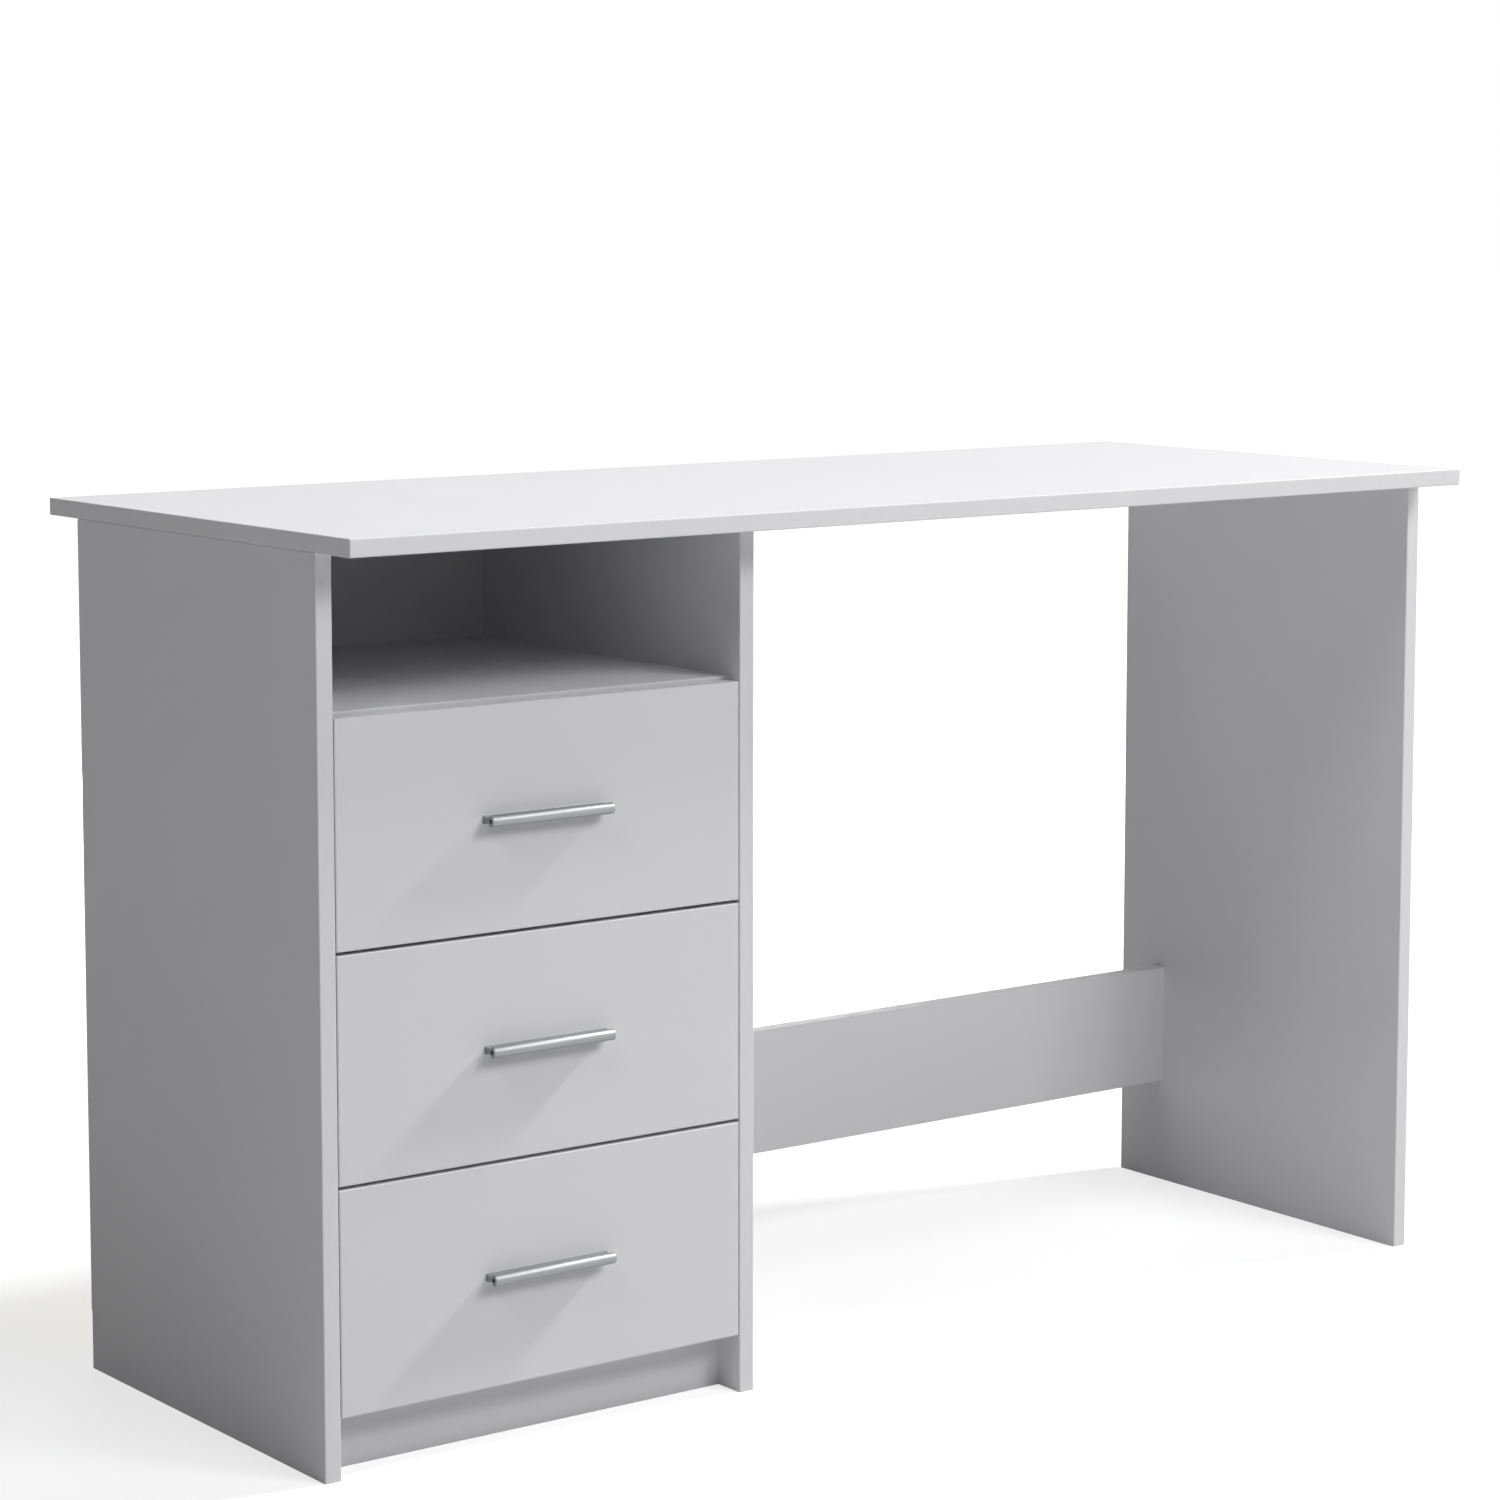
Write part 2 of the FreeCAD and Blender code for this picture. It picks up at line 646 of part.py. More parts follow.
def make_dowel():
    """A dowel with chamfered ends, from 0 to its length along +Z."""
    slim = "(dim.dowel_radius - dim.dowel_bevel)"
    return turned("dowel_master", [
        ("0", "0"), (slim, "0"), ("dim.dowel_radius", "dim.dowel_bevel"),
        ("dim.dowel_radius", "(dim.dowel_length - dim.dowel_bevel)"), (slim, "dim.dowel_length"),
        ("0", "dim.dowel_length"),
    ])


def make_screw(name, length):
    """A pan head screw: its seat is at 0, its head on +Z and its point on -Z."""
    rise = "dim.screw_head_rise"
    owner = turned(name, [
        ("0", f"-{length}"), ("dim.screw_radius", f"-({length} - dim.screw_point)"),
        ("dim.screw_radius", "0"), ("dim.screw_head", "0"), ("dim.screw_head", "dim.screw_head_rim"),
        ("(dim.screw_head - dim.screw_head_bevel)", rise), ("0", rise),
    ])
    cut_cross(owner, rise, "dim.screw_cross_arm", "dim.screw_cross_width", "dim.screw_cross_depth")
    return owner


def make_handle_screw():
    """A pan head machine screw with its core diameter where it is threaded into the handle."""
    core, shank, rise = "dim.handle_screw_core", "dim.handle_screw_shank", "dim.handle_screw_rise"
    thread_start = "(dim.board - dim.handle_thread_start)"
    owner = turned("handle_screw_master", [
        ("0", "-dim.handle_screw_length"), (core, "-dim.handle_screw_length"),
        (core, f"-{thread_start}"), (shank, f"-({thread_start} - dim.handle_screw_taper)"),
        (shank, "0"), ("dim.handle_screw_head", "0"), ("dim.handle_screw_head", "dim.handle_screw_rim"),
        ("dim.handle_screw_crown", rise), ("0", rise),
    ])
    cut_cross(owner, rise, "dim.handle_cross_arm", "dim.handle_cross_width", "dim.handle_cross_depth")
    return owner


def make_nail():
    length = "(dim.nail_length - dim.nail_end_play)"
    return turned("nail_master", [
        ("0", f"-{length}"), ("dim.nail_radius", f"-({length} - dim.nail_point)"),
        ("dim.nail_radius", "0"), ("dim.nail_head", "0"), ("dim.nail_head", "dim.nail_head_rim"),
        ("dim.nail_head_crown", "dim.nail_head_rise"), ("0", "dim.nail_head_rise"),
    ])


def carcass_cams():
    """Each cam of the carcass: where its axis meets the board's face, its face and its bolt."""
    panel_faces = ((LEFT_IN, "+X"), (MIDDLE_IN, "-X"), (RIGHT_IN, "-X"))
    spots = [((face, row, CAM_HEIGHT), out, "+Z") for face, out in panel_faces for row in CAM_ROWS]
    pedestal_ends = (
        (f"({LEFT_IN} + dim.cam_setback)", "-X"),
        (f"({MIDDLE_IN} - dim.cam_setback)", "+X"),
    )
    rail_ends = (
        (f"({MIDDLE_OUT} + dim.cam_setback)", "-X"),
        (f"({RIGHT_IN} - dim.cam_setback)", "+X"),
    )
    undersides = (f"({SHELF_CENTRE} - dim.board / 2)", "dim.plinth_height")
    for underside in undersides:
        for column, toward in pedestal_ends:
            spots += [((column, row, underside), "-Z", toward) for row in SHELF_CAM_ROWS]
    plinth_back = f"({PLINTH_CENTRE} + dim.board / 2)"
    stretcher_back = f"({STRETCHER_CENTRE} + dim.board / 2)"
    spots += [((column, plinth_back, "dim.plinth_cam_height"), "+Y", toward)
              for column, toward in pedestal_ends]
    spots += [((column, stretcher_back, STRETCHER_MIDDLE), "+Y", toward)
              for column, toward in rail_ends]
    return spots


def carcass_dowels():
    """Each dowel of the carcass: the end that sits in a face, and the way it runs from there."""
    face_depth = "dim.dowel_face_depth"
    spots = [((centre, row, f"({UNDER_TOP} + {face_depth})"), "-Z")
             for centre in PANEL_CENTRES for row in DOWEL_ROWS]
    pedestal = [(row, centre) for row in SHELF_DOWEL_ROWS for centre in (SHELF_CENTRE, FLOOR_CENTRE)]
    pedestal.append((PLINTH_CENTRE, "dim.plinth_dowel_height"))
    rail = [(STRETCHER_CENTRE, height) for height in STRETCHER_DOWELS]
    for (start, end), rows in (((LEFT_IN, MIDDLE_IN), pedestal), ((MIDDLE_OUT, RIGHT_IN), rail)):
        for row, height in rows:
            spots.append(((f"({start} - {face_depth})", row, height), "+X"))
            spots.append(((f"({end} + {face_depth})", row, height), "-X"))
    return spots


def make_carcass_fittings():
    half_board = "dim.board / 2"
    housing = make_cam_housing("cam_housing_master", "dim.cam_radius", "dim.cam_depth", half_board,
                               "dim.bolt_head")
    bolt = make_cam_bolt("cam_bolt_master", half_board, "dim.bolt_head", "dim.bolt_shank",
                         "dim.bolt_collar")
    cap = make_cam_cap()
    cams = [(corner, turn_to(out, toward)) for corner, out, toward in carcass_cams()]
    group("cam_housings", [(housing, corner, turn) for corner, turn in cams])
    group("cam_bolts", [(bolt, corner, turn) for corner, turn in cams])
    group("cam_caps", [(cap, corner, turn) for corner, turn in cams])
    dowel = make_dowel()
    group("wood_dowels", [(dowel, corner, turn_to(way)) for corner, way in carcass_dowels()])
    nail = make_nail()
    outside = f"({BACK} + dim.hardboard)"
    nails = grid(PANEL_CENTRES[:2], PANEL_NAILS) + grid(BOARD_NAILS, [SHELF_CENTRE, FLOOR_CENTRE])
    group("back_panel_nails", [(nail, (across, outside, up), turn_to("+Y")) for across, up in nails])


# ---------------------------------------------------------------- runners and rollers


def runner_screw_height(level):
    return f"({track_height(level)} + dim.channel_height / 2)"


def signed(sign, expression):
    return expression if sign > 0 else f"-({expression})"


def add_pin(owner, sign, start, row, height):
    """A riveted pin along X with a flat head, for a roller."""
    reverse = sign < 0
    reach = "(2 * dim.steel + dim.roller_width)"
    shaft = new_sketch(owner, "YZ_Plane", signed(sign, f"({start} - dim.steel / 2)"))
    draw_circle(shaft, (row, height), "dim.pin_radius")
    pad(owner, shaft, f"({reach} + dim.steel / 2)", reverse)
    head = new_sketch(owner, "YZ_Plane", signed(sign, f"({start} + {reach} - dim.steel)"))
    draw_circle(head, (row, height), "dim.pin_head")
    pad(owner, head, "dim.steel", reverse)


def make_cabinet_runner(level, side):
    """A steel channel on a panel, with its track at height 0 and the front roller's pin."""
    sign = SIDES[side]
    wall = LEFT_IN if sign > 0 else MIDDLE_IN
    corner = (wall, RUNNER_FRONT, track_height(level))
    owner = new_body(f"{level}_cabinet_runner_{side}", corner)
    profile = new_sketch(owner, "XZ_Plane")
    points = [
        ("0", "-dim.steel"), ("dim.track_width", "-dim.steel"), ("dim.track_width", "0"),
        ("dim.steel", "0"), ("dim.steel", "(dim.channel_height - dim.steel)"),
        ("dim.channel_lip", "(dim.channel_height - dim.steel)"),
        ("dim.channel_lip", "dim.channel_height"), ("0", "dim.channel_height"),
    ]
    draw_outline(profile, [(signed(sign, across), up) for across, up in points])
    pad(owner, profile, "dim.runner_length", True)
    stop = new_sketch(owner, "XY_Plane")
    draw_rectangle(stop, (signed(sign, "2 * dim.steel"), "dim.stop_start"),
                   (signed(sign, "dim.track_width"), "(dim.stop_start + dim.stop_length)"))
    pad(owner, stop, "dim.stop_height")
    add_pin(owner, sign, "dim.steel", "dim.front_pin", "(dim.roller_play + dim.roller_radius)")
    holes = new_sketch(owner, "YZ_Plane", signed(sign, "dim.steel"))
    for step in range(3):
        row = f"(dim.runner_screw_first + {step} * dim.runner_screw_step)"
        draw_circle(holes, (row, "dim.channel_height / 2"), "(dim.screw_radius + dim.fit_play)")
    pocket(owner, holes, "dim.steel", sign < 0)
    export(owner)


def make_drawer_runner(level, side):
    """A steel profile beside and under a drawer side, with the rear roller's pin."""
    sign = -SIDES[side]
    wall = BOX_LEFT_OUT if sign < 0 else BOX_RIGHT_OUT
    owner = new_body(f"{level}_drawer_runner_{side}", (wall, BOX_FRONT, box_bottom(level)))
    flange = "(dim.steel + 2 * dim.roller_play + 2 * dim.roller_radius)"
    foot = "-(dim.drawer_board - dim.steel)"
    profile = new_sketch(owner, "XZ_Plane", "-dim.bottom_play")
    points = [
        (foot, "-dim.steel"), ("dim.steel", "-dim.steel"), ("dim.steel", flange),
        ("dim.track_width", flange), ("dim.track_width", f"({flange} + dim.steel)"),
        ("0", f"({flange} + dim.steel)"), ("0", "0"), (foot, "0"),
    ]
    draw_outline(profile, [(signed(sign, across), up) for across, up in points])
    pad(owner, profile, "(dim.runner_length - dim.bottom_play)", True)
    row = "(dim.drawer_depth - dim.rear_pin)"
    add_pin(owner, sign, "dim.steel", row, "(dim.steel + dim.roller_play + dim.roller_radius)")
    holes = new_sketch(owner, "XY_Plane", "-dim.steel")
    for row in ("dim.foot_screw_front", "dim.foot_screw_back"):
        draw_circle(holes, (signed(sign, "-dim.foot_screw_inset"), row),
                    "(dim.screw_radius + dim.fit_play)")
    pocket(owner, holes, "dim.steel", True)
    export(owner)


def make_roller():
    """A moulded roller with a hub and a rim, from 0 to its width along +Z."""
    width = "dim.roller_width"
    rim = "dim.roller_radius"
    half = [
        ("dim.roller_bore", "0"), ("dim.hub_radius", "0"),
        ("(dim.hub_radius + dim.web_slope)", "dim.web_recess"),
        ("(dim.rim_inner - dim.web_slope)", "dim.web_recess"), ("dim.rim_inner", "0"),
        (f"({rim} - dim.rim_bevel)", "0"), (rim, "dim.rim_bevel"),
    ]
    far_half = [(across, f"({width} - {up})") for across, up in reversed(half)]
    return turned("roller_master", half + far_half)


def make_rollers(roller, level):
    """The pair on the cabinet runners' pins and the pair on the drawer runners' pins."""
    inset = "1.5 * dim.steel"
    height = roller_height(level)
    front = f"({RUNNER_FRONT} + dim.front_pin)"
    rear = f"({BOX_FRONT} + dim.drawer_depth - dim.rear_pin)"
    group(f"{level}_front_rollers", [
        (roller, (f"({LEFT_IN} + {inset})", front, height), turn_to("+X")),
        (roller, (f"({MIDDLE_IN} - {inset})", front, height), turn_to("-X")),
    ])
    group(f"{level}_rear_rollers", [
        (roller, (f"({BOX_LEFT_OUT} - {inset})", rear, height), turn_to("-X")),
        (roller, (f"({BOX_RIGHT_OUT} + {inset})", rear, height), turn_to("+X")),
    ])


# ---------------------------------------------------------------- drawers


def make_drawer_front(level):
    bottom = front_bottom(level)
    corner = (f"({LEFT_IN} + dim.front_side_gap)", FRONT, bottom)
    size = (f"({INNER_WIDTH} - 2 * dim.front_side_gap)", "dim.board", "dim.front_height")
    made = board(f"{level}_drawer_front", corner, size, "y")
    round_edges(made, "dim.edge_round", lambda edge: not runs_along(edge, "y"))
    floor = f"({box_bottom(level)} + dim.groove_lift)"
    groove(made, "+Y", (f"({BOX_LEFT_IN} - dim.groove_depth)", floor),
           (f"({BOX_RIGHT_IN} + dim.groove_depth)", f"({floor} + dim.groove_height)"),
           "dim.groove_depth")
    drill(made, "+Y", grid(BOX_SIDE_CENTRES, box_cams(level)), "dim.bolt_thread_hole",
          "dim.bolt_thread_depth")
    middle = f"({bottom} + dim.front_height / 2)"
    drill(made, "+Y", grid(HANDLE_SCREWS, [middle]), "dim.handle_screw_hole", "dim.board")


def make_drawer_side(level, side):
    outer, inner_face = (BOX_LEFT_OUT, "+X") if side == "left" else (BOX_RIGHT_IN, "-X")
    outer_face = "-X" if side == "left" else "+X"
    corner = (outer, BOX_FRONT, box_bottom(level))
    size = ("dim.drawer_board", "dim.drawer_depth", "dim.drawer_height")
    made = board(f"{level}_drawer_{side}_side", corner, size, "x")
    round_edges(made, "dim.edge_round",
                lambda edge: runs_along(edge, "y") and edge.CenterOfMass.z > 1)
    centre = BOX_SIDE_CENTRES[0 if side == "left" else 1]
    floor = f"({box_bottom(level)} + dim.groove_lift)"
    groove(made, inner_face, (BOX_FRONT, floor),
           (f"({BOX_FRONT} + dim.drawer_depth)", f"({floor} + dim.groove_height)"),
           "dim.groove_depth")
    drill(made, "-Y", grid([centre], box_cams(level)), "dim.small_bolt_bore", "dim.bolt_bore_depth")
    drill(made, inner_face, grid([BOX_CAM_ROW], box_cams(level)), "dim.small_cam_radius",
          "dim.small_cam_depth")
    drill(made, outer_face, grid([BOX_BACK_CENTRE], box_screws(level)),
          "(dim.screw_radius + dim.fit_play)", "dim.drawer_board")
    column = FOOT_SCREW_COLUMNS[0 if side == "left" else 1]
    drill(made, "-Z", grid([column], FOOT_SCREWS), "dim.screw_hole", "dim.box_screw_length")


def make_drawer_back(level):
    corner = (BOX_LEFT_IN, BOX_BACK, box_bottom(level))
    width = f"({BOX_RIGHT_IN} - {BOX_LEFT_IN})"
    made = board(f"{level}_drawer_back", corner, (width, "dim.drawer_board", "dim.drawer_height"), "y")
    round_edges(made, "dim.edge_round",
                lambda edge: runs_along(edge, "x") and edge.CenterOfMass.z > 1)
    floor = f"({box_bottom(level)} + dim.groove_lift)"
    groove(made, "-Y", (BOX_LEFT_IN, floor), (BOX_RIGHT_IN, f"({floor} + dim.groove_height)"),
           "dim.groove_depth")
    for face in ("-X", "+X"):
        drill(made, face, grid([BOX_BACK_CENTRE], box_screws(level)), "dim.screw_hole",
              "(dim.box_screw_length - dim.drawer_board + 0.5)")


def make_drawer_bottom(level):
    """A hardboard panel that lies in the grooves of the front, the sides and the back."""
    reach = "(dim.groove_depth - dim.bottom_play)"
    corner = (f"({BOX_LEFT_IN} - {reach})", f"({BOX_FRONT} - {reach})",
              f"({box_bottom(level)} + dim.groove_lift)")
    size = (f"({BOX_RIGHT_IN} - {BOX_LEFT_IN} + 2 * {reach})",
            f"({BOX_BACK} - {BOX_FRONT} + 2 * {reach})", "dim.hardboard")
    board(f"{level}_drawer_bottom", corner, size, "z")


def draw_handle_section(plan):
    """Foot, neck and cap of the handle, closed by the half circle of the cap's front."""
    foot, neck, radius = "dim.handle_foot / 2", "dim.handle_neck / 2", "dim.handle_cap_radius"
    shoulder = f"-(dim.handle_reach - {radius})"
    half = [("0", foot), ("-dim.handle_foot_depth", foot), ("-dim.handle_foot_depth", neck),
            ("-dim.handle_neck_end", neck),
            (f"({shoulder} + dim.handle_cap_run)", f"({radius} - dim.handle_cap_bevel)"),
            (shoulder, radius)]
    spots = [(across, f"-({up})") for across, up in half] + half[::-1]
    points = [FreeCAD.Vector(value(across), value(up), 0) for across, up in spots]
    apex = FreeCAD.Vector(value("-dim.handle_reach"), 0, 0)
    bend = len(half) - 1
    for number, (start, end) in enumerate(zip(points, points[1:] + points[:1])):
        if number == bend:
            plan.addGeometry(Part.Arc(start, apex, end))
        else:
            plan.addGeometry(Part.LineSegment(start, end))
    for number, spot in enumerate(spots):
        before = (number - 1) % len(points)
        ends = [(piece, vertex) for piece in (before, number) for vertex in (1, 2)
                if plan.getPoint(piece, vertex).distanceToPoint(points[number]) < TOUCH]
        plan.addConstraint(Sketcher.Constraint("Coincident", *ends[0], *ends[1]))
        if number in (bend, bend + 1):
            plan.addConstraint(Sketcher.Constraint("Vertical", *ends[0], bend, 3))
        else:
            pin_point(plan, *ends[0], spot)
    pin_point(plan, bend, 3, (shoulder, "0"))
    rule = plan.addConstraint(Sketcher.Constraint("Radius", bend, value(radius)))
    plan.renameConstraint(rule, "cap_radius")
    plan.setExpression("Constraints.cap_radius", radius)


def make_handle(level):
    """An extruded pull: a foot on the front, a neck, and a cap with a round front."""
    middle = f"({front_bottom(level)} + dim.front_height / 2)"
    corner = (f"({PEDESTAL_MIDDLE} - dim.handle_length / 2)", FRONT, middle)
    owner = new_body(f"{level}_drawer_handle", corner)
    plan = new_sketch(owner, "YZ_Plane")
    draw_handle_section(plan)
    pad(owner, plan, "dim.handle_length")
    threads = new_sketch(owner, "XZ_Plane")
    for sign in "-+":
        row = f"(dim.handle_length / 2 {sign} dim.handle_hole_span / 2)"
        draw_circle(threads, (row, "0"), "dim.handle_thread_radius")
    pocket(owner, threads, "dim.handle_thread_depth", True)
    export(owner)


def make_drawer_fittings(level, masters):
    """The handle's screws, the cams of the front, and the screws of the box and the runners."""
    middle = f"({front_bottom(level)} + dim.front_height / 2)"
    group(f"{level}_drawer_handle_screws", [
        (masters["handle_screw"], (column, BOX_FRONT, middle), turn_to("+Y"))
        for column in HANDLE_SCREWS
    ])
    cams = [((face, BOX_CAM_ROW, row), turn_to(out, "-Y"))
            for face, out in ((BOX_LEFT_IN, "+X"), (BOX_RIGHT_IN, "-X")) for row in box_cams(level)]
    group(f"{level}_drawer_cam_fittings", [
        (masters[kind], corner, turn) for kind in ("small_housing", "small_bolt")
        for corner, turn in cams
    ])
    screw = masters["box_screw"]
    walls = ((BOX_LEFT_OUT, "-X"), (BOX_RIGHT_OUT, "+X"))
    back_corners = [(screw, (wall, BOX_BACK_CENTRE, row), turn_to(out))
                    for wall, out in walls for row in box_screws(level)]
    under = f"({box_bottom(level)} - dim.steel)"
    feet = [(screw, (centre, row, under), turn_to("-Z"))
            for centre in FOOT_SCREW_COLUMNS for row in FOOT_SCREWS]
    group(f"{level}_drawer_box_screws", back_corners + feet)


def make_drawer(level, masters):
    make_drawer_front(level)
    for side in SIDES:
        make_drawer_side(level, side)
        make_drawer_runner(level, side)
        make_cabinet_runner(level, side)
    make_drawer_back(level)
    make_drawer_bottom(level)
    make_handle(level)
    make_drawer_fittings(level, masters)
    make_rollers(masters["roller"], level)


def make_drawers():
    half_side, head = "dim.drawer_board / 2", "dim.small_bolt_head"
    masters = {
        "handle_screw": make_handle_screw(),
        "small_housing": make_cam_housing("small_housing_master", "dim.small_cam_radius",
                                          "dim.small_cam_depth", half_side, head),
        "small_bolt": make_cam_bolt("small_bolt_master", half_side, head, "dim.small_bolt_shank",
                                    "dim.small_bolt_collar"),
        "box_screw": make_screw("box_screw_master", "(dim.box_screw_length - dim.steel)"),
        "roller": make_roller(),
    }
    for level in LEVELS:
        make_drawer(level, masters)
    runner_screw = make_screw("runner_screw_master", "dim.runner_screw_length")
    inner = ((f"({LEFT_IN} + dim.steel)", "+X"), (f"({MIDDLE_IN} - dim.steel)", "-X"))
    group("runner_screws", [
        (runner_screw, (wall, row, runner_screw_height(level)), turn_to(out))
        for wall, out in inner for level in LEVELS for row in RUNNER_SCREWS
    ])


# ---------------------------------------------------------------- checks and export


def check_document():
    """Every object is up to date, every pocket cuts, and every piece is a valid solid."""
    for item in doc.Objects:
        if "Invalid" in item.State or "Error" in item.State:
            raise RuntimeError(f"{item.Name} failed: {item.State}")
        if item.TypeId == "PartDesign::Pocket":
            if item.Shape.Volume > item.BaseFeature.Shape.Volume - 0.01:
                raise RuntimeError(f"{item.Name} cuts nothing")
    for item in exported:
        if item.Shape.isNull() or not item.Shape.isValid() or not item.Shape.Solids:
            raise RuntimeError(f"{item.Label} has no valid solid")


def export_parts():
    os.makedirs("parts", exist_ok=True)
    for item in exported:
        item.Shape.exportStep(f"parts/{item.Label}.step")


make_desk_top()
make_side_panels()
make_pedestal_board("compartment_shelf", "(dim.shelf_top - dim.board)", SHELF_CENTRE)
make_pedestal_board("bottom_board", "dim.plinth_height", FLOOR_CENTRE)
make_rails()
make_back_panel()
make_carcass_fittings()
make_drawers()
doc.recompute()
check_document()
export_parts()
print(len(exported), "nodes written")
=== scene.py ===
import math

import bpy
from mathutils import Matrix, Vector


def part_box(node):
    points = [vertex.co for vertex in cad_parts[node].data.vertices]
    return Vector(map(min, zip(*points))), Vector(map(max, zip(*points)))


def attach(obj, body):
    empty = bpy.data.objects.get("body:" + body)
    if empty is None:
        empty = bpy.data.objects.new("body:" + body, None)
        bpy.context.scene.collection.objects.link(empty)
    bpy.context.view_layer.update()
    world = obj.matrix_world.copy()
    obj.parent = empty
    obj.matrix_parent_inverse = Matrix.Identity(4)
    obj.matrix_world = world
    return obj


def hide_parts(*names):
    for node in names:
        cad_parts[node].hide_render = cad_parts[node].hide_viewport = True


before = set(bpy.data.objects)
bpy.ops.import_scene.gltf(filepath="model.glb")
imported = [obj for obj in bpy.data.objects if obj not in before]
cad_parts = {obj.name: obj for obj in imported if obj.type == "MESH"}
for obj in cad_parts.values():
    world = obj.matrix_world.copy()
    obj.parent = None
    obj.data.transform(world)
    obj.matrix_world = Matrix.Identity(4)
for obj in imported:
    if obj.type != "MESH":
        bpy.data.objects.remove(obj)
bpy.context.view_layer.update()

MILLIMETRE = 0.001
LEVELS = ("lower", "middle", "upper")
SIDES = ("left", "right")
LOW, HIGH = 0, 1
TOUCH = 0.00001

# Colours, as linear red, green and blue.
WHITE_FACING = (0.79, 0.79, 0.815)
WHITE_BAND = (0.80, 0.80, 0.82)
SEAM_SHADE = (0.60, 0.60, 0.61)
WHITE_FOIL = (0.80, 0.80, 0.80)
WHITE_LACQUER = (0.78, 0.78, 0.775)
RAW_FIBRE = (0.30, 0.185, 0.105)
CHIP_LIGHT = (0.60, 0.45, 0.29)
CHIP_DARK = (0.28, 0.18, 0.10)

BAND_THICKNESS = 1.2 * MILLIMETRE
SEAM_WIDTH = 0.22 * MILLIMETRE
FOIL_REACH = 0.15 * MILLIMETRE

# The handle's section, as heights and depths, and the bore in each of its ends.
HANDLE_FOOT = (6.4 * MILLIMETRE, 3.0 * MILLIMETRE)
HANDLE_NECK = (5.0 * MILLIMETRE, 5.2 * MILLIMETRE)
HANDLE_SHOULDER = 2.4 * MILLIMETRE
HANDLE_CAP_BEVEL = 0.6 * MILLIMETRE
HANDLE_CHANNEL = (1.9 * MILLIMETRE, 5.0 * MILLIMETRE)
HANDLE_SOFTENING = 0.25 * MILLIMETRE
HANDLE_ROUND_STEPS = 14

# The studio: the camera, in degrees and millimetres of lens, the floor and the room.
CAMERA_PLACE = (-2.2294, -2.9038, 1.0452)
CAMERA_TURN = (83.532, 0.064, -36.16)
CAMERA_LENS = 96.82
CAMERA_SHIFT = (0.04, -0.08)
FLOOR_SIZE = 60.0
FLOOR_TONE = (0.62, 0.62, 0.62)
FLOOR_GLOW = (0.62, 1.0)
FLOOR_FADE = (1.0, 2.6)
WHITE_LIGHT = (1.0, 1.0, 1.0)
ROOM_LIGHT = 0.0
BACKDROP = 1.0

# name, place, what it points at, width, height, power in watts
LAMPS = (
    ("key_lamp", (6.0, -1.2, 5.6), (0.0, -0.2, 0.4), 0.8, 0.8, 490.0),
    ("top_box", (0.0, 0.0, 3.5), (0.0, 0.0, 0.7), 2.5, 1.5, 12.0),
    ("front_box", (1.6, -3.2, 3.4), (0.0, 0.0, 0.3), 1.2, 1.2, 48.0),
    ("front_fill", (0.5, -3.5, 2.8), (0.0, 0.0, 0.4), 2.0, 1.0, 40.0),
    ("left_box", (-2.6, -1.2, 3.0), (-0.5, -0.2, 0.4), 1.0, 1.0, 21.0),
    ("back_box", (1.5, 3.2, 0.42), (0.0, 0.2, 0.42), 2.0, 0.6, 50.0),
)


# ---------------------------------------------------------------- building materials


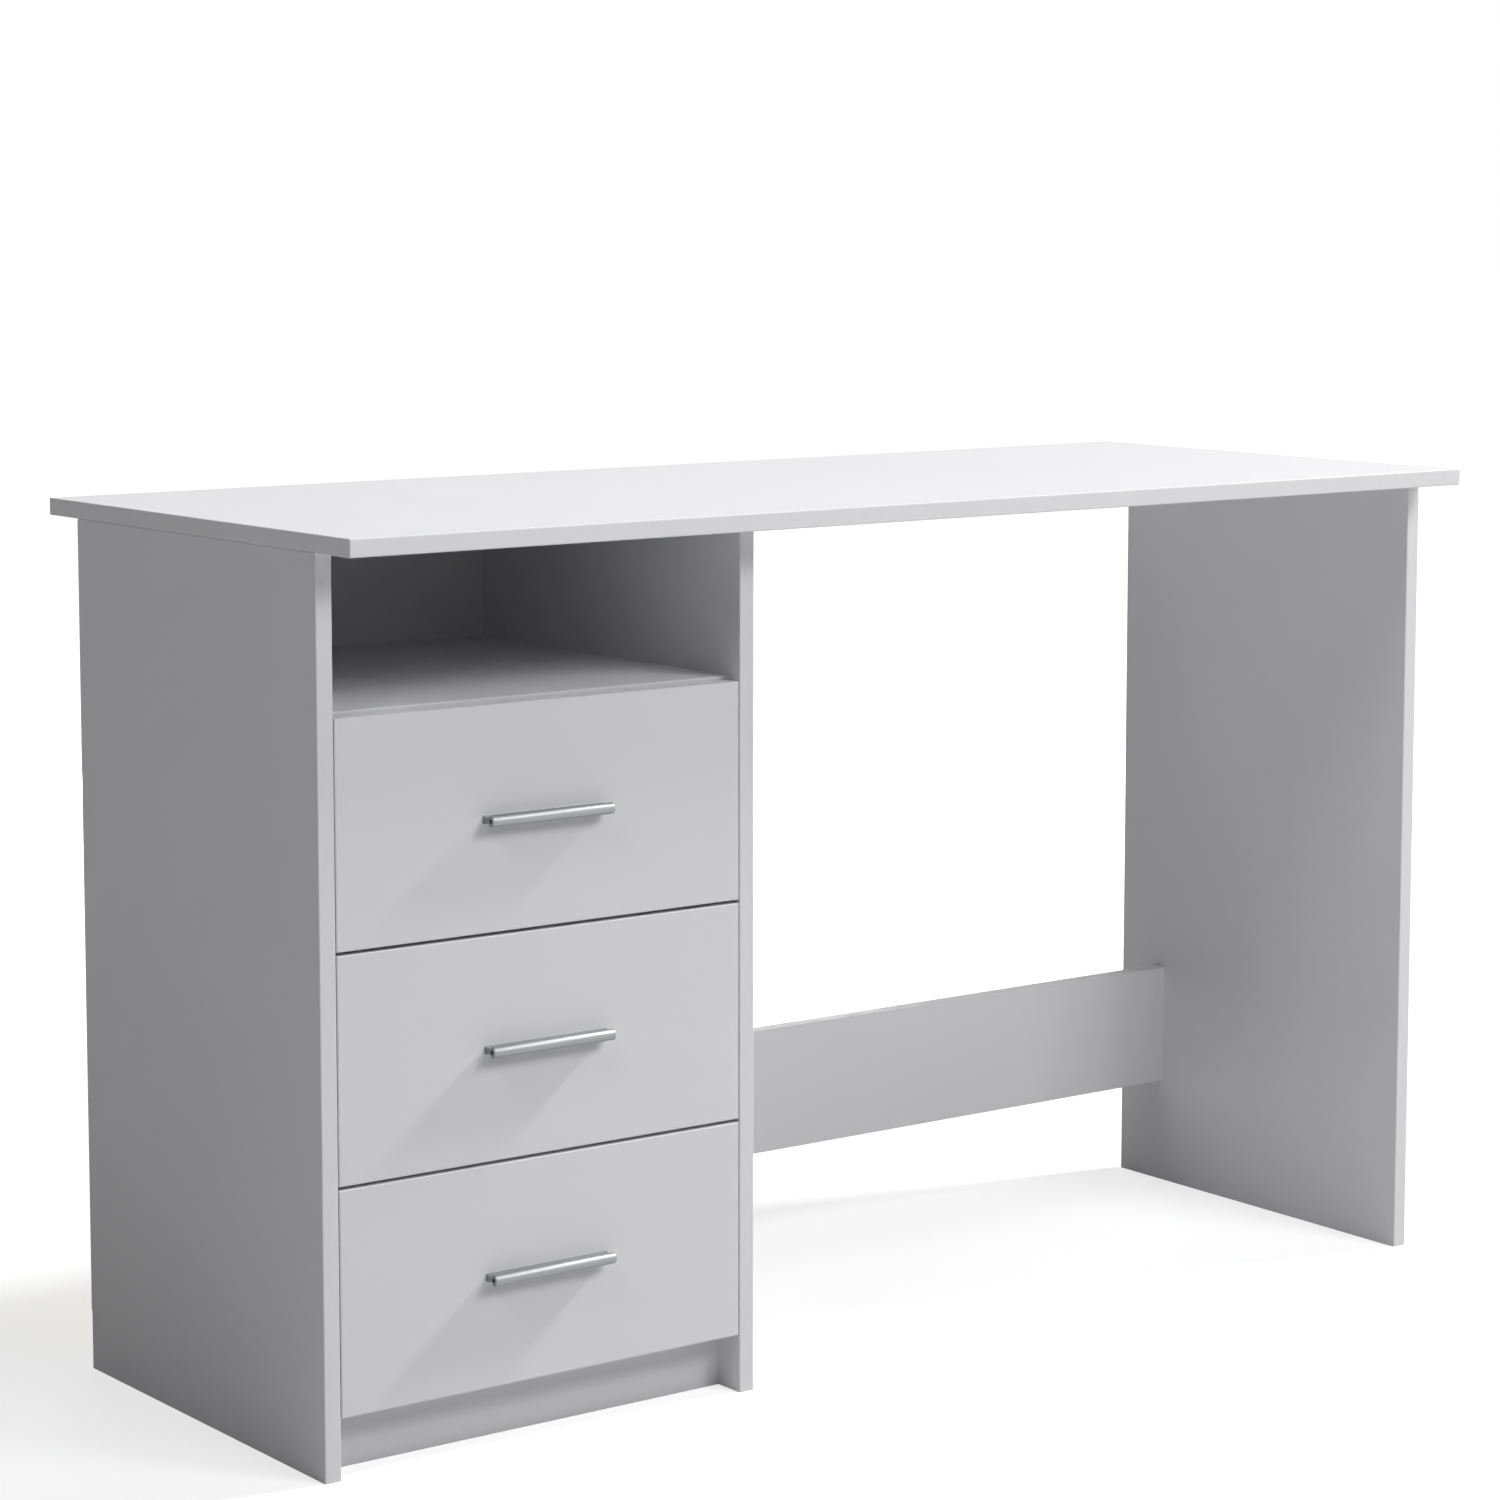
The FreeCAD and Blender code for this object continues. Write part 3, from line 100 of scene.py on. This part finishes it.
class Recipe:
    """A material's node tree, built one step at a time."""

    def __init__(self, name):
        self.material = bpy.data.materials.new(name)
        self.material.use_nodes = True
        self.tree = self.material.node_tree
        self.surface = self.tree.nodes["Principled BSDF"]
        place = self.tree.nodes.new("ShaderNodeTexCoord")
        self.place = place.outputs["Object"]
        split = self.tree.nodes.new("ShaderNodeSeparateXYZ")
        self.tree.links.new(self.place, split.inputs[0])
        self.axes = [split.outputs[axis] for axis in range(3)]

    def feed(self, socket, source):
        """Sets a socket to a plain value, or links it to another node's output."""
        if isinstance(source, bpy.types.NodeSocket):
            self.tree.links.new(source, socket)
        elif isinstance(source, tuple) and len(source) == 3 and socket.type == "RGBA":
            socket.default_value = (*source, 1)
        else:
            socket.default_value = source

    def node(self, kind, inputs=(), **settings):
        made = self.tree.nodes.new(kind)
        for setting, choice in settings.items():
            setattr(made, setting, choice)
        for socket, source in dict(inputs).items():
            self.feed(made.inputs[socket], source)
        return made

    def work_out(self, operation, first, second=0.0):
        """One step of arithmetic."""
        return self.node("ShaderNodeMath", {0: first, 1: second}, operation=operation).outputs[0]

    def stretched(self, scale):
        """The place on the piece, scaled along each axis."""
        return self.node("ShaderNodeMapping", {"Vector": self.place, "Scale": scale}).outputs[0]

    def noise(self, scale, detail=2.0, roughness=0.5, place=None):
        made = self.node("ShaderNodeTexNoise", {
            "Vector": place or self.place, "Scale": scale, "Detail": detail, "Roughness": roughness,
        })
        return made.outputs["Fac"]

    def ramp(self, source, low, high, start=0.0, end=1.0, smooth=False):
        """Carries low to start and high to end, and holds the ends."""
        kind = "SMOOTHSTEP" if smooth else "LINEAR"
        made = self.node("ShaderNodeMapRange", {
            "Value": source, "From Min": low, "From Max": high, "To Min": start, "To Max": end,
        }, interpolation_type=kind)
        return made.outputs[0]

    def blend(self, amount, first, second):
        """Goes from the first colour to the second as the amount goes from 0 to 1."""
        made = self.node("ShaderNodeMix", {0: amount}, data_type="RGBA")
        self.feed(made.inputs[6], first)
        self.feed(made.inputs[7], second)
        return made.outputs[2]

    def relief(self, height, depth, strength=1.0, under=None):
        """Raises the surface by a height, on top of another relief where one is given."""
        inputs = {"Height": height, "Distance": depth, "Strength": strength}
        if under is not None:
            inputs["Normal"] = under
        return self.node("ShaderNodeBump", inputs).outputs[0]

    def finish(self, **inputs):
        names = {"colour": "Base Color", "roughness": "Roughness", "normal": "Normal",
                 "metal": "Metallic", "gloss": "Specular IOR Level"}
        for name, source in inputs.items():
            self.feed(self.surface.inputs[names[name]], source)
        return self.material


def edge_distance(recipe, corners, edges):
    """Distance from the nearest of a board's chosen edges, each an axis and its low or high end."""
    nearest = None
    for axis, end in edges:
        here, edge = recipe.axes[axis], corners[end][axis]
        reach = recipe.work_out("SUBTRACT", *((here, edge) if end == LOW else (edge, here)))
        nearest = reach if nearest is None else recipe.work_out("MINIMUM", nearest, reach)
    return nearest


def chipboard_colour(recipe):
    """Pressed chips, light and dark, with glue between them."""
    cells = recipe.node("ShaderNodeTexVoronoi", {
        "Vector": recipe.stretched((1.0, 1.0, 1.6)), "Scale": 520.0, "Randomness": 1.0,
    })
    tone = recipe.ramp(cells.outputs["Color"], 0.15, 0.9)
    fine = recipe.noise(2400.0, 3.0)
    mixed = recipe.blend(tone, CHIP_DARK, CHIP_LIGHT)
    return recipe.blend(recipe.ramp(fine, 0.3, 0.75, 0.0, 0.45), mixed, CHIP_DARK)


def melamine(name, corners, banded, raw=()):
    """White melamine facing with edge band: a fine seam shows where a band meets the facing."""
    recipe = Recipe(name)
    cloud = recipe.noise(3.5, 3.0)
    facing = recipe.blend(recipe.ramp(cloud, 0.3, 0.7, 0.0, 0.06), WHITE_FACING, SEAM_SHADE)
    grain = recipe.noise(1500.0, 2.0, 0.6)
    roughness = recipe.ramp(recipe.noise(11.0, 4.0, 0.6), 0.25, 0.75, 0.40, 0.50)
    edge = edge_distance(recipe, corners, banded)
    off_seam = recipe.work_out("ABSOLUTE", recipe.work_out("SUBTRACT", edge, BAND_THICKNESS))
    seam = recipe.ramp(off_seam, 0.0, SEAM_WIDTH, 0.55, 0.0, smooth=True)
    on_facing = recipe.ramp(edge, BAND_THICKNESS - SEAM_WIDTH, BAND_THICKNESS, smooth=True)
    colour = recipe.blend(on_facing, WHITE_BAND, facing)
    colour = recipe.blend(seam, colour, SEAM_SHADE)
    scuff = recipe.ramp(edge, 0.0, 4 * MILLIMETRE, 0.10, 0.0)
    worn = recipe.work_out("MULTIPLY", scuff, recipe.ramp(recipe.noise(160.0, 4.0, 0.7), 0.5, 0.75))
    colour = recipe.blend(worn, colour, SEAM_SHADE)
    if raw:
        bare = recipe.ramp(edge_distance(recipe, corners, raw), FOIL_REACH, 2 * FOIL_REACH, 1.0, 0.0)
        colour = recipe.blend(bare, colour, chipboard_colour(recipe))
        roughness = recipe.work_out("MAXIMUM", roughness, recipe.work_out("MULTIPLY", bare, 0.9))
    wave = recipe.relief(recipe.noise(14.0, 2.0), 0.4 * MILLIMETRE, 0.12)
    pearl = recipe.work_out("MULTIPLY", grain, on_facing)
    pearl = recipe.relief(pearl, 0.06 * MILLIMETRE, 0.35, wave)
    return recipe.finish(colour=colour, roughness=roughness, normal=pearl, gloss=0.14)


def foil_board(name, corners, raw):
    """Thin white foil on chipboard: smoother than melamine, with the chips showing through a little."""
    recipe = Recipe(name)
    telegraph = recipe.noise(240.0, 3.0, 0.6)
    colour = recipe.blend(recipe.ramp(telegraph, 0.35, 0.7, 0.0, 0.05), WHITE_FOIL, SEAM_SHADE)
    bare = recipe.ramp(edge_distance(recipe, corners, raw), FOIL_REACH, 2 * FOIL_REACH, 1.0, 0.0)
    colour = recipe.blend(bare, colour, chipboard_colour(recipe))
    roughness = recipe.ramp(recipe.noise(18.0, 3.0), 0.3, 0.7, 0.42, 0.54)
    roughness = recipe.work_out("MAXIMUM", roughness, recipe.work_out("MULTIPLY", bare, 0.9))
    bumps = recipe.relief(telegraph, 0.08 * MILLIMETRE, 0.4)
    return recipe.finish(colour=colour, roughness=roughness, normal=bumps, gloss=0.4)


def hardboard(name, axis, middle, lacquered):
    """Pressed fibre, lacquered white on its low or high side and bare on the other."""
    recipe = Recipe(name)
    fibres = recipe.noise(900.0, 5.0, 0.7)
    clouds = recipe.noise(22.0, 4.0, 0.6)
    bare = recipe.blend(recipe.ramp(fibres, 0.3, 0.7, 0.0, 0.55), RAW_FIBRE, CHIP_DARK)
    bare = recipe.blend(recipe.ramp(clouds, 0.35, 0.7, 0.0, 0.30), bare, CHIP_LIGHT)
    white = recipe.blend(recipe.ramp(clouds, 0.3, 0.7, 0.0, 0.05), WHITE_LACQUER, SEAM_SHADE)
    ends = (1.0, 0.0) if lacquered == LOW else (0.0, 1.0)
    side = recipe.ramp(recipe.axes[axis], middle - 0.1 * MILLIMETRE, middle + 0.1 * MILLIMETRE, *ends)
    colour = recipe.blend(side, bare, white)
    screen = [recipe.work_out("SINE", recipe.work_out("MULTIPLY", recipe.axes[across], 2600.0))
              for across in range(3) if across != axis]
    mesh = recipe.work_out("MULTIPLY", recipe.ramp(screen[0], -1.0, 1.0), recipe.ramp(screen[1], -1.0, 1.0))
    dents = recipe.work_out("MULTIPLY", mesh, recipe.ramp(side, 0.0, 1.0, 1.0, 0.12))
    normal = recipe.relief(dents, 0.10 * MILLIMETRE, 0.6, recipe.relief(fibres, 0.05 * MILLIMETRE, 0.3))
    roughness = recipe.ramp(side, 0.0, 1.0, 0.82, 0.42)
    return recipe.finish(colour=colour, roughness=roughness, normal=normal, gloss=0.35)


def drawn_aluminium():
    """Matt anodised extrusion: die lines along the length, and a soft mottle."""
    recipe = Recipe("anodised_aluminium")
    lines = recipe.noise(1.0, 3.0, 0.6, recipe.stretched((18.0, 5200.0, 5200.0)))
    mottle = recipe.noise(420.0, 3.0)
    colour = recipe.blend(recipe.ramp(lines, 0.3, 0.7), (0.25, 0.255, 0.265), (0.33, 0.335, 0.345))
    roughness = recipe.ramp(mottle, 0.3, 0.7, 0.44, 0.54)
    normal = recipe.relief(lines, 0.02 * MILLIMETRE, 0.5)
    return recipe.finish(colour=colour, roughness=roughness, normal=normal, metal=1.0)


def zinc_plate():
    """Bright zinc on steel, with the faint crystals and rub marks of plated hardware."""
    recipe = Recipe("zinc_plate")
    crystals = recipe.node("ShaderNodeTexVoronoi", {"Vector": recipe.place, "Scale": 900.0}).outputs["Color"]
    rub = recipe.noise(300.0, 4.0, 0.65)
    colour = recipe.blend(recipe.ramp(crystals, 0.0, 1.0), (0.56, 0.57, 0.60), (0.66, 0.66, 0.67))
    roughness = recipe.ramp(rub, 0.3, 0.7, 0.24, 0.42)
    return recipe.finish(colour=colour, roughness=roughness, metal=1.0,
                         normal=recipe.relief(rub, 0.02 * MILLIMETRE, 0.4))


def cast_zinc():
    """Die-cast zinc: duller and greyer, with a fine cast skin."""
    recipe = Recipe("cast_zinc")
    skin = recipe.noise(1100.0, 4.0, 0.6)
    colour = recipe.blend(recipe.ramp(skin, 0.3, 0.7), (0.42, 0.42, 0.43), (0.52, 0.52, 0.53))
    return recipe.finish(colour=colour, roughness=recipe.ramp(skin, 0.3, 0.7, 0.42, 0.58), metal=1.0,
                         normal=recipe.relief(skin, 0.05 * MILLIMETRE, 0.5))


def powder_coat():
    """White powder coat with orange peel, on rolled steel."""
    recipe = Recipe("powder_coat")
    peel = recipe.noise(520.0, 1.0)
    dust = recipe.noise(40.0, 4.0, 0.6)
    colour = recipe.blend(recipe.ramp(dust, 0.45, 0.8, 0.0, 0.10), (0.80, 0.80, 0.79), (0.55, 0.55, 0.54))
    return recipe.finish(colour=colour, roughness=recipe.ramp(dust, 0.3, 0.7, 0.32, 0.42),
                         normal=recipe.relief(peel, 0.06 * MILLIMETRE, 0.35), gloss=0.5)


def moulded_plastic(name, tone, shade, roughness):
    """A moulded piece: smooth, with faint flow marks and a light spark texture."""
    recipe = Recipe(name)
    flow = recipe.noise(60.0, 3.0)
    spark = recipe.noise(1800.0, 2.0)
    colour = recipe.blend(recipe.ramp(flow, 0.35, 0.7, 0.0, 0.5), tone, shade)
    return recipe.finish(colour=colour, roughness=recipe.ramp(flow, 0.3, 0.7, roughness, roughness + 0.08),
                         normal=recipe.relief(spark, 0.03 * MILLIMETRE, 0.4), gloss=0.45)


def beech():
    """Beech with short dark flecks."""
    recipe = Recipe("beech")
    grain = recipe.noise(1.0, 4.0, 0.6, recipe.stretched((900.0, 900.0, 60.0)))
    flecks = recipe.ramp(recipe.noise(1400.0, 1.0), 0.62, 0.72)
    colour = recipe.blend(recipe.ramp(grain, 0.3, 0.7), (0.52, 0.33, 0.19), (0.70, 0.50, 0.31))
    colour = recipe.blend(recipe.work_out("MULTIPLY", flecks, 0.6), colour, (0.28, 0.15, 0.08))
    return recipe.finish(colour=colour, roughness=0.62, normal=recipe.relief(grain, 0.05 * MILLIMETRE, 0.4))


# ---------------------------------------------------------------- modelling


def box_of(node):
    low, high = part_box(node)
    return Vector(low), Vector(high)


def deselect_all():
    bpy.ops.object.select_all(action="DESELECT")


def add_block(name, low, high):
    """A block between two corners, left in edit mode with nothing selected."""
    deselect_all()
    low, high = Vector(low), Vector(high)
    bpy.ops.mesh.primitive_cube_add(size=1.0, location=(low + high) / 2, scale=high - low)
    made = bpy.context.active_object
    made.name = made.data.name = name
    bpy.ops.object.transform_apply(location=True, rotation=True, scale=True)
    bpy.ops.object.mode_set(mode="EDIT")
    bpy.ops.mesh.select_all(action="DESELECT")
    return made


def pick(made, mode, wanted):
    """Selects the faces or edges of the piece that is being edited for which wanted is true."""
    bpy.ops.mesh.select_mode(type=mode)
    bpy.ops.mesh.select_all(action="DESELECT")
    bpy.ops.object.mode_set(mode="OBJECT")
    if mode == "FACE":
        for face in made.data.polygons:
            face.select = wanted(face.center, face.normal)
    else:
        spots = [vertex.co.copy() for vertex in made.data.vertices]
        for edge in made.data.edges:
            edge.select = wanted(*[spots[end] for end in edge.vertices])
    bpy.ops.object.mode_set(mode="EDIT")


def push(move, resize=None, centre=(0.0, 0.0, 0.0)):
    """Extrudes the selected face, then resizes its new end about a centre."""
    bpy.ops.mesh.extrude_region_move(TRANSFORM_OT_translate={"value": move})
    if resize:
        bpy.ops.transform.resize(value=resize, center_override=centre)


def leave_edit(made, soften=0.0, segments=2, angle=30.0):
    """Ends edit mode, softens the sharp edges, and shades by angle."""
    bpy.ops.mesh.select_all(action="SELECT")
    bpy.ops.mesh.remove_doubles(threshold=TOUCH)
    bpy.ops.mesh.normals_make_consistent(inside=False)
    bpy.ops.object.mode_set(mode="OBJECT")
    if soften:
        rounding = made.modifiers.new("rounding", "BEVEL")
        rounding.width, rounding.segments = soften, segments
        rounding.limit_method, rounding.angle_limit = "ANGLE", math.radians(angle)
        rounding.use_clamp_overlap = True
        bpy.ops.object.modifier_apply(modifier="rounding")
    bpy.ops.object.shade_smooth_by_angle(angle=math.radians(angle))


def select_only(made):
    deselect_all()
    made.select_set(True)
    bpy.context.view_layer.objects.active = made


def copy_of(made, name, move):
    """A copy with its own mesh, moved in its mesh."""
    select_only(made)
    bpy.ops.object.duplicate()
    twin = bpy.context.active_object
    twin.name = twin.data.name = name
    twin.location = move
    bpy.ops.object.transform_apply(location=True, rotation=False, scale=False)
    return twin


def model_handle(level):
    """Extruded pull: a foot on the front, a slim neck, and a cap with a round front and a channel in each end."""
    low, high = box_of(f"{level}_drawer_handle")
    middle = (low + high) / 2
    cap = high.z - low.z
    foot_height, foot_depth = HANDLE_FOOT
    neck_height, neck_depth = HANDLE_NECK
    half = foot_height / 2
    made = add_block(f"{level}_handle", (low.x, high.y - foot_depth, middle.z - half),
                     (high.x, high.y, middle.z + half))
    pick(made, "FACE", lambda centre, normal: normal.y < -0.9)
    push((0, 0, 0), (1, 1, neck_height / foot_height), (middle.x, high.y, middle.z))
    push((0, -neck_depth, 0))
    narrow = cap - HANDLE_CAP_BEVEL
    push((0, -HANDLE_SHOULDER, 0), (1, 1, narrow / neck_height), (middle.x, high.y, middle.z))
    reach = high.y - foot_depth - neck_depth - HANDLE_SHOULDER
    shoulder = low.y + cap / 2
    push((0, shoulder - reach, 0), (1, 1, cap / narrow), (middle.x, high.y, middle.z))
    push((0, low.y - shoulder, 0))
    front = low.y + TOUCH
    pick(made, "EDGE",
         lambda start, end: start.y < front and end.y < front and abs(start.z - end.z) < TOUCH)
    bpy.ops.mesh.bevel(offset=cap / 2 - TOUCH, segments=HANDLE_ROUND_STEPS, profile=0.5, clamp_overlap=True)
    leave_edit(made, HANDLE_SOFTENING, 2, 40.0)
    radius, depth = HANDLE_CHANNEL
    for end in (low.x, high.x):
        cut_channel(made, Vector((end, shoulder, middle.z)), radius, depth)
    return made


def cut_channel(made, spot, radius, depth):
    """Bores a round channel along X into one end of a piece."""
    deselect_all()
    bpy.ops.mesh.primitive_cylinder_add(vertices=32, radius=radius, depth=2 * depth, location=spot,
                                        rotation=(0, math.pi / 2, 0))
    drill = bpy.context.active_object
    bpy.ops.object.transform_apply(location=True, rotation=True, scale=True)
    cut = made.modifiers.new("channel", "BOOLEAN")
    cut.operation, cut.solver, cut.object = "DIFFERENCE", "EXACT", drill
    select_only(made)
    bpy.ops.object.modifier_apply(modifier="channel")
    bpy.data.objects.remove(drill)
    bpy.ops.object.shade_smooth_by_angle(angle=math.radians(30))


def make_handles(finish):
    """Models one handle and copies it to the other drawers."""
    first = model_handle(LEVELS[0])
    start = box_of(f"{LEVELS[0]}_drawer_handle")[LOW]
    for level in LEVELS:
        move = box_of(f"{level}_drawer_handle")[LOW] - start
        made = first if level == LEVELS[0] else copy_of(first, f"{level}_handle", move)
        made.data.materials.clear()
        made.data.materials.append(finish)
        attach(made, f"{level}_drawer")
        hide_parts(f"{level}_drawer_handle")


# ---------------------------------------------------------------- dressing the desk


def dress(node, material):
    """Gives one of the frame's nodes its finish."""
    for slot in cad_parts[node].material_slots:
        slot.material = material


def dress_boards():
    ends_x, ends_y, ends_z = [[(axis, end) for end in (LOW, HIGH)] for axis in range(3)]
    banded = {
        "desk_top": ends_x + ends_y,
        "left_side_panel": ends_y, "middle_side_panel": ends_y, "right_side_panel": ends_y,
        "compartment_shelf": [(1, LOW)], "bottom_board": [(1, LOW)],
        "plinth_board": [(2, HIGH)], "stretcher_board": ends_z,
    }
    bare_underneath = ("left_side_panel", "middle_side_panel", "right_side_panel", "plinth_board")
    for node, edges in banded.items():
        raw = [(2, LOW)] if node in bare_underneath else ()
        dress(node, melamine(f"melamine_{node}", box_of(node), edges, raw))
    for level in LEVELS:
        front = f"{level}_drawer_front"
        dress(front, melamine(f"melamine_{front}", box_of(front), ends_x + ends_z))
        for side in SIDES:
            wall = f"{level}_drawer_{side}_side"
            dress(wall, foil_board(f"foil_{wall}", box_of(wall), ends_y))
        back = f"{level}_drawer_back"
        dress(back, foil_board(f"foil_{back}", box_of(back), ends_x))


def dress_hardboard():
    low, high = box_of("back_panel")
    dress("back_panel", hardboard("hardboard_back_panel", 1, high.y - 0.3 * MILLIMETRE, LOW))
    for level in LEVELS:
        bottom = f"{level}_drawer_bottom"
        low, high = box_of(bottom)
        dress(bottom, hardboard(f"hardboard_{bottom}", 2, low.z + 0.3 * MILLIMETRE, HIGH))


def dress_hardware():
    zinc, cast, coat = zinc_plate(), cast_zinc(), powder_coat()
    cap = moulded_plastic("cap_plastic", (0.80, 0.80, 0.81), (0.74, 0.74, 0.76), 0.36)
    nylon = moulded_plastic("nylon", (0.82, 0.82, 0.79), (0.74, 0.74, 0.71), 0.42)
    make_handles(drawn_aluminium())
    for node in ("cam_bolts", "back_panel_nails", "runner_screws"):
        dress(node, zinc)
    dress("cam_housings", cast)
    dress("cam_caps", cap)
    dress("wood_dowels", beech())
    for level in LEVELS:
        dress(f"{level}_drawer_handle_screws", zinc)
        dress(f"{level}_drawer_cam_fittings", cast)
        dress(f"{level}_drawer_box_screws", zinc)
        dress(f"{level}_front_rollers", nylon)
        dress(f"{level}_rear_rollers", nylon)
        for side in SIDES:
            dress(f"{level}_cabinet_runner_{side}", coat)
            dress(f"{level}_drawer_runner_{side}", coat)


# ---------------------------------------------------------------- studio

def make_camera():
    data = bpy.data.cameras.new("camera")
    data.sensor_width = 36.0
    data.lens = CAMERA_LENS
    data.shift_x, data.shift_y = CAMERA_SHIFT
    data.clip_end = 100.0
    camera = bpy.data.objects.new("camera", data)
    camera.location = CAMERA_PLACE
    camera.rotation_euler = [math.radians(angle) for angle in CAMERA_TURN]
    bpy.context.scene.collection.objects.link(camera)
    bpy.context.scene.camera = camera


def make_floor():
    """Pale floor. For the camera it fades to plain white away from the desk, and keeps the desk's shadow."""
    deselect_all()
    bpy.ops.mesh.primitive_plane_add(size=FLOOR_SIZE, location=(0.0, 0.0, 0.0))
    floor = bpy.context.active_object
    floor.name = "floor"
    recipe = Recipe("pale_floor")
    rays = recipe.node("ShaderNodeLightPath").outputs
    reach = recipe.node("ShaderNodeVectorMath", {0: recipe.place}, operation="LENGTH").outputs["Value"]
    glow = recipe.ramp(reach, *FLOOR_FADE, *FLOOR_GLOW, smooth=True)
    seen = recipe.work_out("MAXIMUM", rays["Is Camera Ray"], rays["Is Glossy Ray"])
    seen = recipe.work_out("MAXIMUM", seen, rays["Is Transmission Ray"])
    recipe.feed(recipe.surface.inputs["Emission Strength"], recipe.work_out("MULTIPLY", seen, glow))
    recipe.feed(recipe.surface.inputs["Emission Color"], WHITE_LIGHT)
    floor.data.materials.append(recipe.finish(colour=FLOOR_TONE, roughness=0.9, gloss=0.1))


def make_world():
    """A dim room, seen as plain white by the camera, and in gloss, metal and glass."""
    world = bpy.data.worlds.new("studio")
    bpy.context.scene.world = world
    world.use_nodes = True
    tree = world.node_tree
    ground = tree.nodes["Background"]
    ground.inputs["Color"].default_value = (*WHITE_LIGHT, 1)
    rays = tree.nodes.new("ShaderNodeLightPath")
    seen = None
    for kind in ("Is Camera Ray", "Is Glossy Ray", "Is Transmission Ray"):
        if seen is None:
            seen = rays.outputs[kind]
            continue
        either = tree.nodes.new("ShaderNodeMath")
        either.operation = "MAXIMUM"
        tree.links.new(seen, either.inputs[0])
        tree.links.new(rays.outputs[kind], either.inputs[1])
        seen = either.outputs[0]
    level = tree.nodes.new("ShaderNodeMapRange")
    tree.links.new(seen, level.inputs["Value"])
    level.inputs["To Min"].default_value = ROOM_LIGHT
    level.inputs["To Max"].default_value = BACKDROP
    tree.links.new(level.outputs[0], ground.inputs["Strength"])


def make_lamps():
    for name, place, target, width, height, power in LAMPS:
        data = bpy.data.lights.new(name, "AREA")
        data.shape = "RECTANGLE"
        data.size, data.size_y = width, height
        data.energy = power
        lamp = bpy.data.objects.new(name, data)
        lamp.location = place
        aim = Vector(target) - Vector(place)
        lamp.rotation_euler = aim.to_track_quat("-Z", "Y").to_euler()
        bpy.context.scene.collection.objects.link(lamp)


dress_boards()
dress_hardboard()
dress_hardware()
make_camera()
make_floor()
make_world()
make_lamps()
bpy.context.scene.view_settings.view_transform = "Standard"
